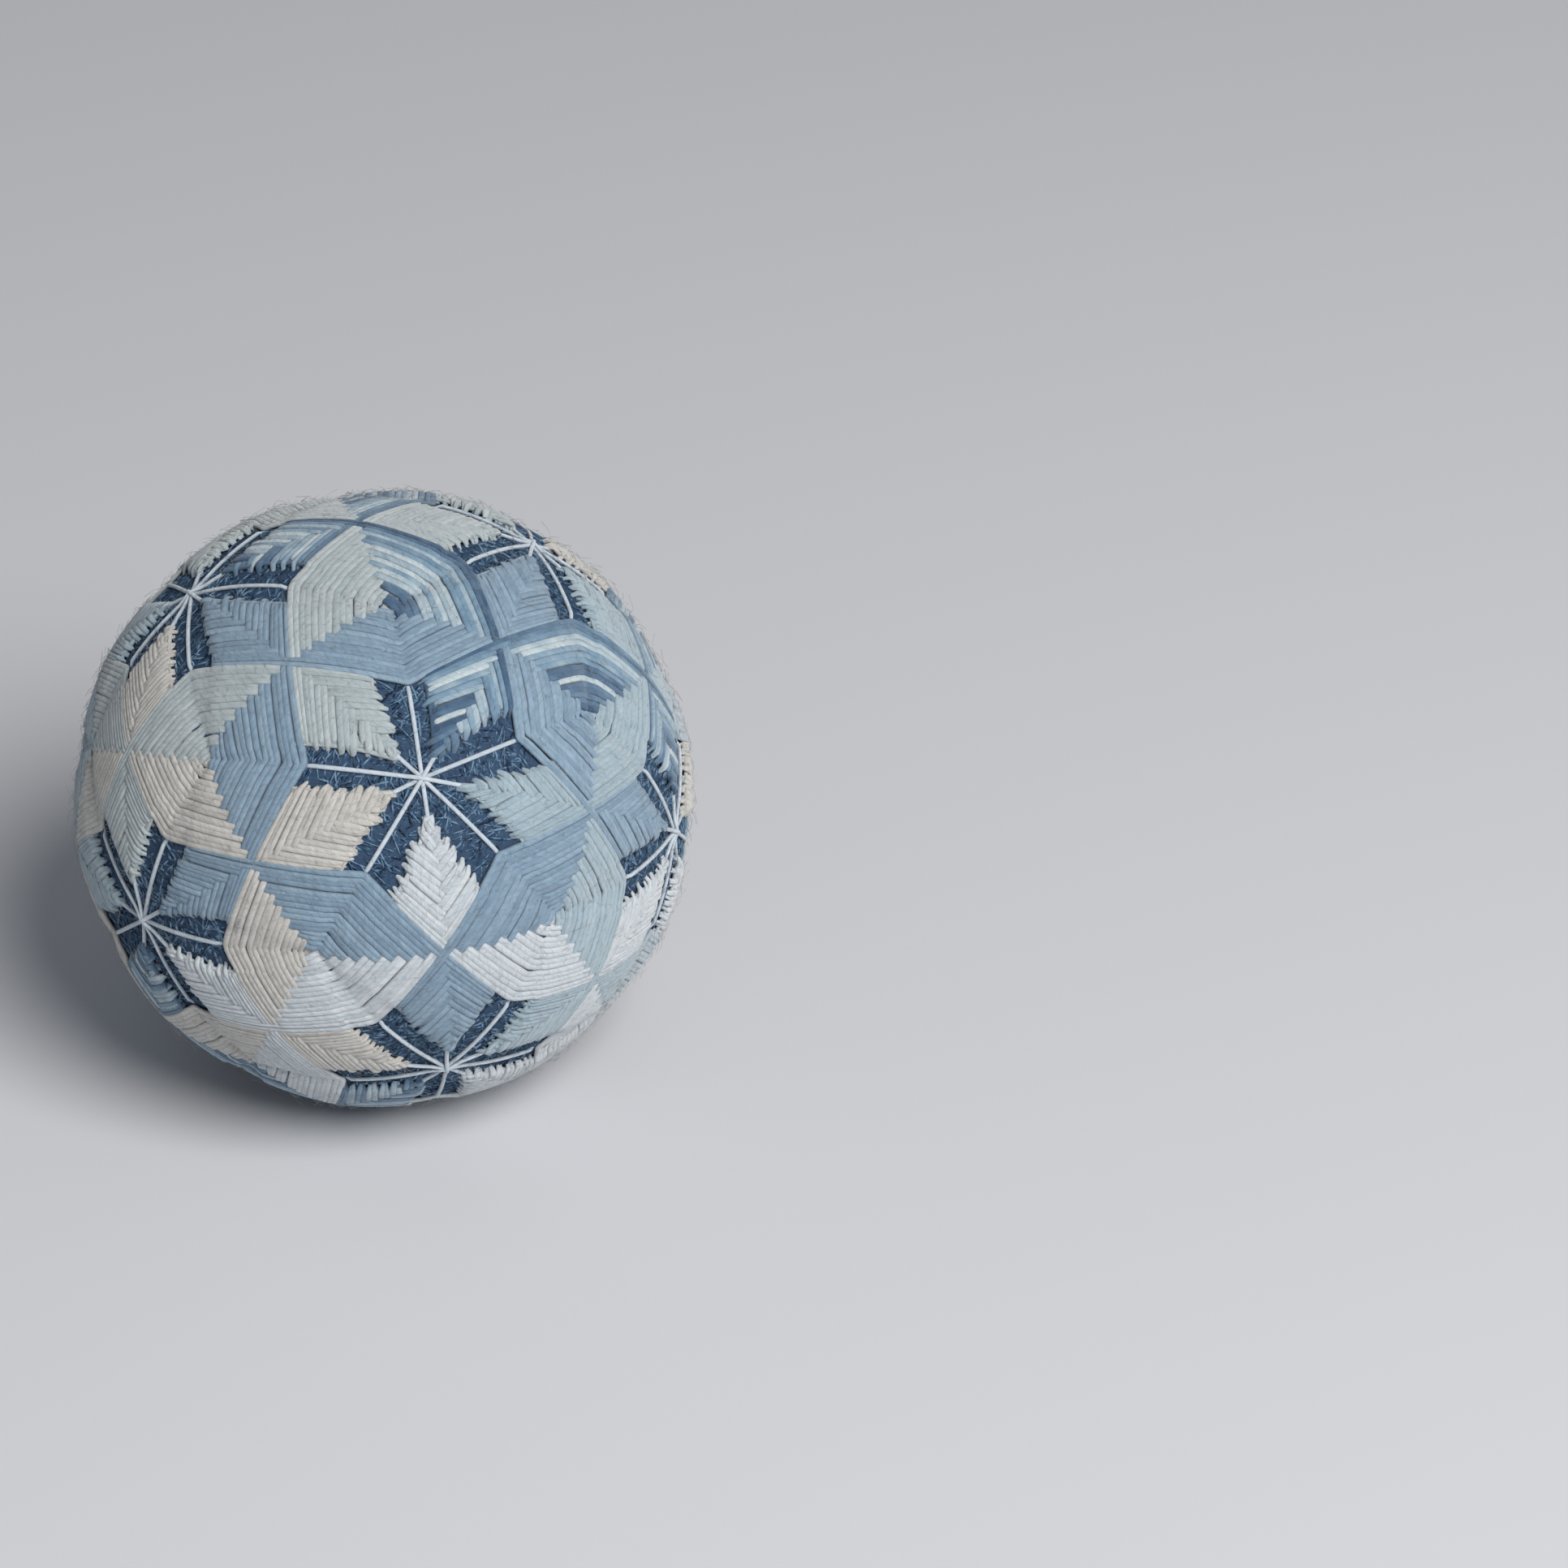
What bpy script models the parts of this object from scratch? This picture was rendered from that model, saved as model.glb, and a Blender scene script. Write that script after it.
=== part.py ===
"""A temari ball: a wound ball of thread, stitched over with twelve interlocking five-pointed stars.

The stitching covers the ball except round the twelve star centres, where five pairs of narrow bands of the
bare winding are left. The pads of stitching stand a thread's double thickness above those bands, and each
six-sided pad is drawn a little flat at its middle. The ball rests on a small flat spot.
"""

import math

import bmesh
import bpy
from mathutils import Matrix, Vector

# Driving dimensions, in metres
BALL_RADIUS = 0.0425
BAND_DEPTH = 0.0012
BAND_HALF_WIDTH = 0.0037
KITE_TIP_FROM_CENTRE = 0.0047
PAD_EDGE_ROUNDING = 0.0014
PAD_MIDDLE_DIP = 0.0005
PAD_MIDDLE_REACH = 0.0125
FLAT_SPOT_RADIUS = 0.010

# A pad's corner on the line from a star centre to a pad's middle, as a share of that line
PAD_CORNER_SHARE = 0.515

# Where the star that faces the viewer points, in degrees, and how far its first neighbour is turned
# clockwise from straight up
FRONT_AZIMUTH = -78.3
FRONT_ELEVATION = 33.2
NEIGHBOUR_TURN = 33.0

# Cuts along each edge of the sixty triangles that the layout divides the ball into
GRID_CUTS = 8

THREAD_COLOUR = (0.32, 0.46, 0.60, 1.0)
THREAD_ROUGHNESS = 0.9


def clear_scene():
    """Remove the objects that the scene starts with."""
    for item in list(bpy.data.objects):
        bpy.data.objects.remove(item, do_unlink=True)


def named_collection(name):
    """Make a collection for the finished parts and link it to the scene."""
    collection = bpy.data.collections.new(name)
    bpy.context.scene.collection.children.link(collection)
    return collection


def layout_turn():
    """The rotation that points the layout's first star at the viewer and sets its neighbour's turn."""
    azimuth = math.radians(FRONT_AZIMUTH)
    elevation = math.radians(FRONT_ELEVATION)
    turn = math.radians(NEIGHBOUR_TURN)
    front = Vector((
        math.cos(elevation) * math.cos(azimuth),
        math.cos(elevation) * math.sin(azimuth),
        math.sin(elevation),
    ))
    up = (Vector((0, 0, 1)) - front * front.z).normalized()
    right = up.cross(front)
    neighbour = up * math.cos(turn) + right * math.sin(turn)
    return Matrix((neighbour, front.cross(neighbour), front)).transposed().to_4x4()


def layout_points(bm):
    """The star centres, pad middles and pad side points of the layout, as unit vectors."""
    centres = [v.co.normalized() for v in bm.verts]
    middles = [f.calc_center_median().normalized() for f in bm.faces]
    sides = [(e.verts[0].co + e.verts[1].co).normalized() for e in bm.edges]
    return centres, middles, sides


def nearest(direction, points):
    """The layout point that lies nearest to a direction."""
    return max(points, key=direction.dot)


def toward(start, end, distance):
    """The point at a distance in metres from start, measured over the ball towards end."""
    share = distance / BALL_RADIUS / start.angle(end)
    return start.slerp(end, share)


def inside_line(direction, first, second, inner):
    """How far, in metres, a direction lies past the great circle through two points, towards inner."""
    normal = first.cross(second).normalized()
    if normal.dot(inner) < 0:
        normal.negate()
    return BALL_RADIUS * math.asin(max(-1.0, min(1.0, direction.dot(normal))))


def eased(value):
    """A smooth step from 0 to 1."""
    value = max(0.0, min(1.0, value))
    return value * value * (3 - 2 * value)


def band_share(direction, centre, middle, side):
    """1 in a bare band of the winding, 0 on a stitched pad, and in between on the pad's rounded edge."""
    corner = centre.slerp(middle, PAD_CORNER_SHARE)
    kite_tip = toward(centre, side, KITE_TIP_FROM_CENTRE)
    band_end = toward(corner, side, BAND_HALF_WIDTH)
    past_kite = inside_line(direction, kite_tip, band_end, corner)
    past_pad = inside_line(direction, corner, side, centre)
    past_kite = eased(0.5 + past_kite / PAD_EDGE_ROUNDING)
    past_pad = eased(0.5 + past_pad / PAD_EDGE_ROUNDING)
    return past_kite * past_pad


def surface_radius(direction, centres, middles, sides):
    """The distance from the ball's middle to its surface in a direction."""
    centre = nearest(direction, centres)
    middle = nearest(direction, middles)
    side = nearest(direction, sides)
    band = band_share(direction, centre, middle, side)
    off_middle = BALL_RADIUS * direction.angle(middle, 0.0)
    dip = eased(1 - off_middle / PAD_MIDDLE_REACH)
    return BALL_RADIUS - BAND_DEPTH * band - PAD_MIDDLE_DIP * dip


def cut_flat_spot(bm):
    """Cut the ball off level at its underside and stand it on the ground plane."""
    level = -math.sqrt(BALL_RADIUS**2 - FLAT_SPOT_RADIUS**2)
    everything = bm.verts[:] + bm.edges[:] + bm.faces[:]
    cut = bmesh.ops.bisect_plane(
        bm, geom=everything, plane_co=(0, 0, level), plane_no=(0, 0, 1), clear_inner=True
    )
    rim = [item for item in cut["geom_cut"] if isinstance(item, bmesh.types.BMEdge)]
    bmesh.ops.holes_fill(bm, edges=rim, sides=len(rim))
    bmesh.ops.translate(bm, verts=bm.verts, vec=(0, 0, -level))


def wound_ball_mesh(name):
    """Shape an icosphere's grid into the stitched ball, one closed skin."""
    bm = bmesh.new()
    bmesh.ops.create_icosphere(bm, subdivisions=1, radius=1.0)
    bmesh.ops.transform(bm, matrix=layout_turn(), verts=bm.verts)
    centres, middles, sides = layout_points(bm)
    bmesh.ops.poke(bm, faces=bm.faces[:])
    bmesh.ops.subdivide_edges(bm, edges=bm.edges[:], cuts=GRID_CUTS, use_grid_fill=True)
    for vertex in bm.verts:
        direction = vertex.co.normalized()
        vertex.co = direction * surface_radius(direction, centres, middles, sides)
    cut_flat_spot(bm)
    bmesh.ops.recalc_face_normals(bm, faces=bm.faces)
    mesh = bpy.data.meshes.new(name)
    bm.to_mesh(mesh)
    bm.free()
    mesh.shade_smooth()
    mesh.set_sharp_from_angle(angle=math.radians(50))
    return mesh


def thread_material():
    """Matt cotton thread, in the middle blue of the stitching."""
    material = bpy.data.materials.new("cotton_thread")
    material.use_nodes = True
    shader = material.node_tree.nodes["Principled BSDF"]
    shader.inputs["Base Color"].default_value = THREAD_COLOUR
    shader.inputs["Roughness"].default_value = THREAD_ROUGHNESS
    shader.inputs["Metallic"].default_value = 0.0
    return material


def main():
    clear_scene()
    parts = named_collection("temari_ball_parts")
    ball = bpy.data.objects.new("temari_ball", wound_ball_mesh("temari_ball"))
    ball.data.materials.append(thread_material())
    parts.objects.link(ball)


main()
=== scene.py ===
# %% [markdown]
# # A temari ball, thread by thread
#
# A temari is a ball wound from thread and then stitched all over. This one carries twelve
# five-pointed stars. Each star's arms pass under and over those of its neighbours, so the ball
# shows twenty six-sided pads, sixty kites, and narrow bands of the navy winding round each star's
# middle, with white guide threads along them.
#
# A bump on a sphere could stand for all this, but the threads are what the eye reads: the chevrons
# where they bend, the teeth where they enter the ball, the steps where two stars meet. So every
# thread here is a closed tube of its own. They follow the few rules that a stitcher follows, and
# the pattern comes out by itself.

# %% Load the frame
import math

import bpy
import numpy as np
from mathutils import Matrix, Vector


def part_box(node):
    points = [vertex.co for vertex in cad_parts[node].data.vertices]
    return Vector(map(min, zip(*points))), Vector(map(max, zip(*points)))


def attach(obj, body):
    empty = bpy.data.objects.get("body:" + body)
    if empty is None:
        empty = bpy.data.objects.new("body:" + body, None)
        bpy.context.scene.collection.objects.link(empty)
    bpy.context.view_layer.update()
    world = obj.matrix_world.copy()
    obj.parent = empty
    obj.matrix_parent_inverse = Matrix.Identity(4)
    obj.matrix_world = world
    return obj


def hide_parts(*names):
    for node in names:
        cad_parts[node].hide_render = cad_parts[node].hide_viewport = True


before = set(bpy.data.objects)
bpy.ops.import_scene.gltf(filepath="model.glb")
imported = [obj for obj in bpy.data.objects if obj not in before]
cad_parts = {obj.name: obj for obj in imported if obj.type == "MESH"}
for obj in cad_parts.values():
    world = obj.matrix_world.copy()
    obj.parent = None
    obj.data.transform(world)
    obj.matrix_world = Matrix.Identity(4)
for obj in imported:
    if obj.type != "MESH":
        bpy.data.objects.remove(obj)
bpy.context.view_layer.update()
low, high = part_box("temari_ball")
print("wound ball from", [round(v, 4) for v in low], "to", [round(v, 4) for v in high])

# %% [markdown]
# ## Sizes
#
# Lengths are in metres, as everywhere in Blender, and MM turns a size in millimetres into them.
# The ball's middle hangs one radius below its highest point. Pads of stitching reach the full
# radius, and the bare winding lies a little lower.

# %% Sizes of the ball and its threads
MM = 0.001
BALL_RADIUS = 42.5 * MM
WINDING_RADIUS = BALL_RADIUS - 1.25 * MM
BALL_MIDDLE = np.array([0.0, 0.0, high.z - BALL_RADIUS])
ROUNDS = 8
THREADS = 2 * ROUNDS
random = np.random.default_rng(12)
print("ball middle is", round(float(BALL_MIDDLE[2]) / MM, 1), "mm up")

# %% [markdown]
# ## Marking the ball
#
# Before any stitching, the maker divides the ball with pins. Twelve star points lie as the corners
# of an icosahedron do, and twenty pad points lie between them, three stars round each. The corners
# are worked out from one angle, the tilt from one star to the next, and then turned as the ball
# stands: one star looks at us, a little to the right and from a third of the way up.

# %% The twelve star points
STAR_TILT = math.atan(2)
FIFTH_TURN = math.tau / 5
FRONT_AZIMUTH = math.radians(-78.3)
FRONT_ELEVATION = math.radians(33.2)
NEIGHBOUR_TURN = math.radians(33.0)


def unit(vector):
    """The same direction with length 1, for one vector or for rows of them."""
    vector = np.asarray(vector, float)
    return vector / np.linalg.norm(vector, axis=-1, keepdims=True)


def star_points():
    """The front star, the five round it clockwise from the upper right, then the six opposite them."""
    front = np.array([
        math.cos(FRONT_ELEVATION) * math.cos(FRONT_AZIMUTH),
        math.cos(FRONT_ELEVATION) * math.sin(FRONT_AZIMUTH),
        math.sin(FRONT_ELEVATION),
    ])
    up = unit(np.array([0, 0, 1]) - front * front[2])
    right = np.cross(up, front)
    near = [front]
    for k in range(5):
        turn = NEIGHBOUR_TURN + k * FIFTH_TURN
        aside = up * math.cos(turn) + right * math.sin(turn)
        near.append(front * math.cos(STAR_TILT) + aside * math.sin(STAR_TILT))
    near = np.array(near)
    return np.concatenate([near, -near])


even_stars = star_points()
print(len(even_stars), "star points")

# %% [markdown]
# Pins set by hand are never quite even. The table gives how far each pin that we face sits from
# its even place, in millimetres along the ball: east, then north. A pad point is named by its three
# stars. The pins behind are off by small random steps of the same kind.

# %% Pins set by hand
PIN_STEPS = {
    # pin: (east, north)
    (0,): (0.6, -0.1),
    (1,): (1.1, -1.8),
    (2,): (1.6, -0.6),
    (3,): (0.5, -1.2),
    (4,): (-1.6, -1.4),
    (5,): (-1.3, -1.6),
    (0, 1, 5): (1.6, -2.8),
    (0, 1, 2): (0.3, -2.4),
    (0, 2, 3): (1.7, -0.2),
    (0, 3, 4): (-1.2, 0.1),
    (0, 4, 5): (-1.4, -1.2),
}
HIDDEN_PIN_STEP = 0.6
# less than the cosine of the tilt between neighbours, and more than that of any other two stars
NEIGHBOUR_COSINE = 0.4


def moved(point, pin):
    """A pin's place on the ball after the hand's error."""
    east = unit(np.cross([0, 0, 1], point))
    north = np.cross(point, east)
    steps = PIN_STEPS.get(pin, random.normal(0, HIDDEN_PIN_STEP, 2))
    return unit(point + (east * steps[0] + north * steps[1]) * MM / BALL_RADIUS)


stars = np.array([moved(point, (k,)) for k, point in enumerate(even_stars)])
neighbours = {}
for k, point in enumerate(even_stars):
    near = even_stars @ point > NEIGHBOUR_COSINE
    neighbours[k] = [j for j in range(len(stars)) if near[j] and j != k]
pads = {}
for a in range(len(stars)):
    for b in neighbours[a]:
        for c in neighbours[a]:
            if a < b < c and c in neighbours[b]:
                even_place = unit(even_stars[a] + even_stars[b] + even_stars[c])
                pads[(a, b, c)] = moved(even_place, (a, b, c))
print(len(pads), "pad points")

# %% [markdown]
# ## The path of a star's threads
#
# A star is stitched in rounds. Each round bends in a V on the line from the star to each pad point,
# and its outer ends enter the ball in the kites that surround the neighbouring stars. The first
# round bends at the pad point itself, and each later round bends a thread's width nearer the star.
# A thread under tension takes the shortest way over the ball, which is a great circle, so one
# stretch is known from its two ends. Each round is a doubled thread, laid side by side.

# %% Where threads bend and end
CORNER_SHARE = 0.515
KITE_TIP = 3.7
BAND_HALF_WIDTH = 3.3
UNEVENNESS = 0.45
BAND_WIDTHS = {
    # (star, star of the kite, pad whose corner ends the band): half width in mm
    (0, 5, (0, 1, 5)): 4.2,
    (0, 5, (0, 4, 5)): 2.3,
    (0, 1, (0, 1, 5)): 1.7,
    (0, 1, (0, 1, 2)): 3.8,
    (0, 2, (0, 1, 2)): 4.9,
    (0, 2, (0, 2, 3)): 3.2,
    (0, 3, (0, 2, 3)): 4.8,
    (0, 3, (0, 3, 4)): 4.5,
    (0, 4, (0, 3, 4)): 2.6,
    (0, 4, (0, 4, 5)): 2.8,
}
KITE_TIPS = {
    # (star, star of the kite): distance from the star point in mm
    (0, 1): 2.8,
    (0, 2): 4.1,
    (0, 3): 3.7,
    (0, 4): 3.3,
    (0, 5): 3.0,
}


def along(start, end, share):
    """The point at a share of the way from start to end over the ball. A share may be an array."""
    angle = math.acos(float(np.clip(start @ end, -1, 1)))
    share = np.asarray(share, float)[..., None]
    return (np.sin((1 - share) * angle) * start + np.sin(share * angle) * end) / math.sin(angle)


def distance(start, end):
    """The distance over the ball between two points, in metres."""
    return BALL_RADIUS * math.acos(float(np.clip(start @ end, -1, 1)))


def uneven(table, key, even):
    """A size from a table, or the even size a little off, in metres."""
    if key not in table:
        table[key] = even + random.normal(0, UNEVENNESS)
    return table[key] * MM


def pad_corner(star, pad):
    """The corner of a pad that points at a star."""
    return along(stars[star], pads[pad], CORNER_SHARE)


def pads_between(star, other):
    """The two pads that two neighbouring stars share."""
    return [pad for pad in pads if star in pad and other in pad]


def crossing(star, other):
    """Where the last rounds of two neighbouring stars cross, between the two pads they share."""
    one, two = pads_between(star, other)
    first = np.cross(pad_corner(star, one), pad_corner(other, two))
    second = np.cross(pad_corner(star, two), pad_corner(other, one))
    meeting = unit(np.cross(first, second))
    return meeting if meeting @ stars[star] > 0 else -meeting


crossings = {(a, b): crossing(a, b) for a in range(len(stars)) for b in neighbours[a] if a < b}


def between(star, other):
    """Where two neighbouring stars cross, whichever of them is named first."""
    return crossings[(min(star, other), max(star, other))]


print(len(crossings), "crossings of last rounds")

# %% [markdown]
# A bundle is the sixteen threads that run from one pad, past one crossing, to one kite. `star` owns
# the threads, `other` is the star whose kite they end in, and `pad` is where they bend. The threads
# are counted from the last one stitched, which lies along the pad's edge, back to the first.
#
# The first rounds would cross the bare bands if they ran straight. They are stitched before the other
# star's rounds, which then push them aside, so on their way they come out from under the pad only
# where the kite begins.

# %% Bundles of threads
END_CROWDING = 1.3
EXIT_MARGIN = 0.04
EXIT_SPREAD = 0.35
COUNTING_PLACES = np.linspace(0, 1, ROUNDS + 1)


class Bundle:
    """The lines that the threads of one bundle bend, come out from under the pad and end on."""

    def __init__(self, star, other, pad):
        self.star, self.other, self.pad = star, other, pad
        far_pad = next(p for p in pads_between(star, other) if p != pad)
        meeting = between(star, other)
        corner = pad_corner(star, pad)
        far_corner = pad_corner(other, far_pad)
        band = uneven(BAND_WIDTHS, (other, star, far_pad), BAND_HALF_WIDTH)
        near_band = uneven(BAND_WIDTHS, (other, star, pad), BAND_HALF_WIDTH)
        tip = uneven(KITE_TIPS, (other, star), KITE_TIP)
        self.edge_start = along(far_corner, meeting, band / distance(far_corner, meeting))
        self.edge_end = along(stars[other], meeting, tip / distance(stars[other], meeting))
        self.bend_start, self.bend_end = corner, pads[pad]
        self.side_start, self.meeting = pad_corner(other, pad), meeting
        self.first_exit = near_band / distance(self.side_start, meeting)
        bends, exits, ends = self.stations(COUNTING_PLACES)
        self.pad_axes = unit(np.cross(bends, exits))
        self.kite_axes = unit(np.cross(exits, ends))
        if self.pad_axes[0] @ self.bend_end < 0:
            self.pad_axes, self.kite_axes = -self.pad_axes, -self.kite_axes

    def stations(self, place):
        """Where threads bend, leave the pad and end. A place runs from 0, the last thread, to 1."""
        place = np.clip(np.atleast_1d(place), 0, 1)
        bends = along(self.bend_start, self.bend_end, place)
        ends = along(self.edge_start, self.edge_end, place**END_CROWDING)
        pad_side = unit(np.cross(self.side_start, self.meeting))
        crossings_of_side = unit(np.cross(np.cross(bends, ends), pad_side))
        crossings_of_side *= np.sign(crossings_of_side @ self.meeting)[:, None]
        angle = np.arctan2(np.cross(self.side_start, crossings_of_side) @ pad_side,
                           crossings_of_side @ self.side_start)
        share = angle * BALL_RADIUS / distance(self.side_start, self.meeting)
        spread = EXIT_MARGIN + EXIT_SPREAD * (1 - place) * (1 - self.first_exit)
        share = np.maximum(share, self.first_exit + spread)
        return bends, along(self.side_start, self.meeting, share), ends

    def run(self, place, share):
        """Points along a thread, for a place and a share of the way at each point."""
        bends, exits, ends = self.stations(place)
        first = np.linalg.norm(exits - bends, axis=-1, keepdims=True)
        second = np.linalg.norm(ends - exits, axis=-1, keepdims=True)
        knot = first / (first + second)
        pull = (exits - (1 - knot) ** 2 * bends - knot**2 * ends) / (2 * knot * (1 - knot))
        share = np.asarray(share, float)[:, None]
        return unit((1 - share) ** 2 * bends + 2 * share * (1 - share) * pull + share**2 * ends)


bundles = {}
for star in range(len(stars)):
    for other in neighbours[star]:
        for pad in pads_between(star, other):
            bundles[(star, other, pad)] = Bundle(star, other, pad)
print(len(bundles), "bundles of", THREADS, "threads")

# %% [markdown]
# ## Over and under
#
# Every thread crosses two others' bundles: first the neighbour's bundle that bends in the same pad,
# then its own star's bundle from the far pad. Where two bundles cross, the round stitched later lies
# on top, so it is enough to compare two counts: the thread's own round, and which round of the other
# bundle passes this spot. Where both are the same round, the star stitched later wins. That rule
# alone draws the steps along the pads' spokes and the herringbone of the kites.

# %% Who lies on top
STITCH_RANK = [7, 9, 6, 3, 1, 2, 5, 0, 8, 10, 4, 11]
# heights of a thread's middle over the winding, below and above another thread
LOW_LAYER = 0.40 * MM
HIGH_LAYER = 0.74 * MM
# lengths of the change between them, and of the hold past the first round, in rounds
CHANGE_LENGTH = 0.5
HELD_UP_UNTIL = ROUNDS + 0.5
CROSSING_RISE = 0.22 * MM
CROSSING_REACH = 5.0 * MM
PAD_DIP = 0.5 * MM
PAD_REACH = 12.5 * MM


def eased(value):
    """A smooth step from 0 to 1."""
    value = np.clip(value, 0, 1)
    return value * value * (3 - 2 * value)


def rounds_into(axes, points):
    """How many rounds into a bundle each point lies: 0 at the last one's edge, ROUNDS at the first's."""
    offsets = points @ axes.T
    passed = np.clip((offsets > 0).sum(-1) - 1, 0, len(axes) - 2)
    row = np.arange(len(points))
    before, after = offsets[row, passed], offsets[row, passed + 1]
    return (passed + before / (before - after)) * ROUNDS / (len(axes) - 1)


def layer_height(bundle, own_round, points):
    """How high over the winding a thread's middle runs at each point of its path."""
    near = bundles[(bundle.other, bundle.star, bundle.pad)]
    far_pad = next(p for p in pads_between(bundle.star, bundle.other) if p != bundle.pad)
    far = bundles[(bundle.star, bundle.other, far_pad)]
    near_tie = 0 if STITCH_RANK[bundle.star] > STITCH_RANK[bundle.other] else 1
    far_tie = 0 if bundle.pad < far_pad else 1
    into_near = rounds_into(near.pad_axes, points)
    into_far = rounds_into(far.kite_axes, points)
    over_near = eased((into_near - own_round - near_tie) / CHANGE_LENGTH + 0.5)
    over_far = eased((into_far - own_round - far_tie) / CHANGE_LENGTH + 0.5)
    over = np.maximum(over_near, over_far)
    into = np.maximum(into_near, into_far)
    held_up = eased(HELD_UP_UNTIL - into)
    off_crossing = np.arccos(np.clip(points @ bundle.meeting, -1, 1)) * BALL_RADIUS
    rise = CROSSING_RISE * np.exp(-((off_crossing / CROSSING_REACH) ** 2))
    return LOW_LAYER + (HIGH_LAYER - LOW_LAYER) * over * held_up + rise


def pad_dip(points):
    """How much lower the surface is drawn towards the middle of a pad."""
    middles = np.array(list(pads.values()))
    nearest = np.arccos(np.clip((points @ middles.T).max(-1), -1, 1)) * BALL_RADIUS
    return PAD_DIP * eased(1 - nearest / PAD_REACH)


print("stars from first to last stitched:", np.argsort(STITCH_RANK) + 1)

# %% [markdown]
# A V-shaped thread is made from its two stretches, one from each outer end to the bend. Its path is
# sampled finely first. Rings are then kept close together where the thread dives, bends or ends, and
# far apart where it runs plain, so that the triangles go where they show.
#
# A hand doesn't lay two threads alike. Each round sits a little off its place, each thread wanders
# a little to one side, and each end is a little long or short.

# %% How a thread bends, pairs up, wanders and dives
BEND_DIP = 0.22 * MM
BEND_REACH = 0.7 * MM
BEND_PINCH = 0.16
PINCH_REACH = 1.2 * MM
DIVE_DEPTH = 0.75 * MM
DIVE_LENGTH = 1.3 * MM
# the two threads of a pair, as shares of a round's width
PAIR_OFFSET = 0.25
PAIR_CLOSENESS = 0.97
END_TAPER = 1.5 * MM
END_CLOSENESS = 0.3
# the hand's error: a round's place and a thread's wander as shares, an end in millimetres
ROUND_ERROR = 0.008
WANDER = 0.09
END_ERROR = 0.36
# rings: how many are kept, and how much closer they lie where a thread dives and where it bends
FINE_STEPS = 220
RINGS = 25
DIVE_RINGS = 5
BEND_RINGS = 3
BEND_RINGS_REACH = 0.8 * MM


def thread_spacing(bundle, place, share):
    """The distance across the bundle from one thread to the next, along a stretch."""
    step = 0.5 / THREADS
    place = np.full(len(share), np.clip(place, step, 1 - step))
    one, two = bundle.run(place - step, share), bundle.run(place + step, share)
    forward = unit(np.gradient(one, axis=0))
    gap = two - one
    gap = gap - (gap * forward).sum(-1)[:, None] * forward
    return np.linalg.norm(gap, axis=-1) * BALL_RADIUS


# %% The path of one V-shaped thread
def stretch(bundle, own_round, which):
    """The rings' middles of one stretch, from the bend to the outer end, and their distance from it."""
    share = np.linspace(0, 1, FINE_STEPS)
    middle = (own_round + 0.5) / ROUNDS + random.normal(0, ROUND_ERROR)
    straight = bundle.run(np.full(FINE_STEPS, middle), share)
    reach = np.linalg.norm(np.diff(straight, axis=0), axis=1).sum() * BALL_RADIUS
    share = share * (1 + random.normal(0, END_ERROR) * MM / reach)
    length = reach * share[-1]
    from_bend = share * reach
    from_end = length - from_bend
    pair = PAIR_CLOSENESS * (1 - BEND_PINCH * np.exp(-((from_bend / PINCH_REACH) ** 2)))
    pair = pair * np.clip(from_end / END_TAPER, END_CLOSENESS, 1) ** 0.7
    wander = random.normal(0, WANDER) * np.sin(math.pi * share * random.uniform(1, 3))
    place = middle + (which + wander) * pair * PAIR_OFFSET / ROUNDS
    points = bundle.run(place, share)
    spacing = thread_spacing(bundle, middle, share)
    height = layer_height(bundle, own_round, points)
    height -= BEND_DIP * np.exp(-((from_bend / BEND_REACH) ** 2))
    height -= DIVE_DEPTH * (1 - eased(from_end / DIVE_LENGTH))
    height -= pad_dip(points)
    slope = np.clip(np.abs(np.gradient(height, from_bend)), 0, 1)
    at_bend = np.exp(-((from_bend / BEND_RINGS_REACH) ** 2))
    spent = np.cumsum(1 + DIVE_RINGS * slope + BEND_RINGS * at_bend)
    spent = (spent - spent[0]) / (spent[-1] - spent[0])
    kept = np.interp(np.linspace(0, 1, RINGS), spent, share)
    radius = WINDING_RADIUS + height
    path = np.stack([np.interp(kept, share, points[:, k] * radius) for k in range(3)], axis=1)
    return path, kept * reach, np.interp(kept, share, spacing)


def bent_thread(star, pad, own_round, which):
    """The middles of all rings of one V-shaped thread in a pad."""
    one, two = [other for other in pad if other != star]
    left, left_length, left_gap = stretch(bundles[(star, one, pad)], own_round, which)
    right, right_length, right_gap = stretch(bundles[(star, two, pad)], own_round, which)
    joined = (left[0] + right[0]) / 2
    path = np.concatenate([left[:0:-1], [joined], right[1:]])
    lengths = np.concatenate([left_length[-1] - left_length[:0:-1], [left_length[-1]],
                              left_length[-1] + right_length[1:]])
    spacing = np.concatenate([left_gap[:0:-1], right_gap])
    middle = len(left) - 1
    eased_path = path.copy()
    for k in range(middle - 1, middle + 2):
        eased_path[k] = (path[k - 1] + 2 * path[k] + path[k + 1]) / 4
    return eased_path, lengths, spacing


print("a V-shaped thread has", 2 * RINGS - 1, "rings")

# %% [markdown]
# ## Tubes from paths
#
# Blender can bevel a curve into a tube, but a stitched thread is flatter than it is wide, lies the
# same way up along the whole ball, and narrows where it enters. So the rings are set round each path
# by hand: one axis points out of the ball, the other lies across the thread. Two values are stored
# at every corner for the material: the place round and along the thread, and how much dye it took,
# with painted shade at the ends of stitched threads and painted light and shade by height on the
# winding's arcs.
# Each thread also gets its own strip of a flat map, where its colours have room when the ball is
# taken to another program.

# %% Rings round a path, and flat where the ball rests
PRESS_DEPTH = 0.25 * MM


def ring_axes(path):
    """Unit vectors out of the ball and across the thread, at each ring of a path."""
    forward = unit(np.gradient(path, axis=0))
    outward = unit(path)
    across = unit(np.cross(forward, outward))
    return np.cross(across, forward), across


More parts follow.
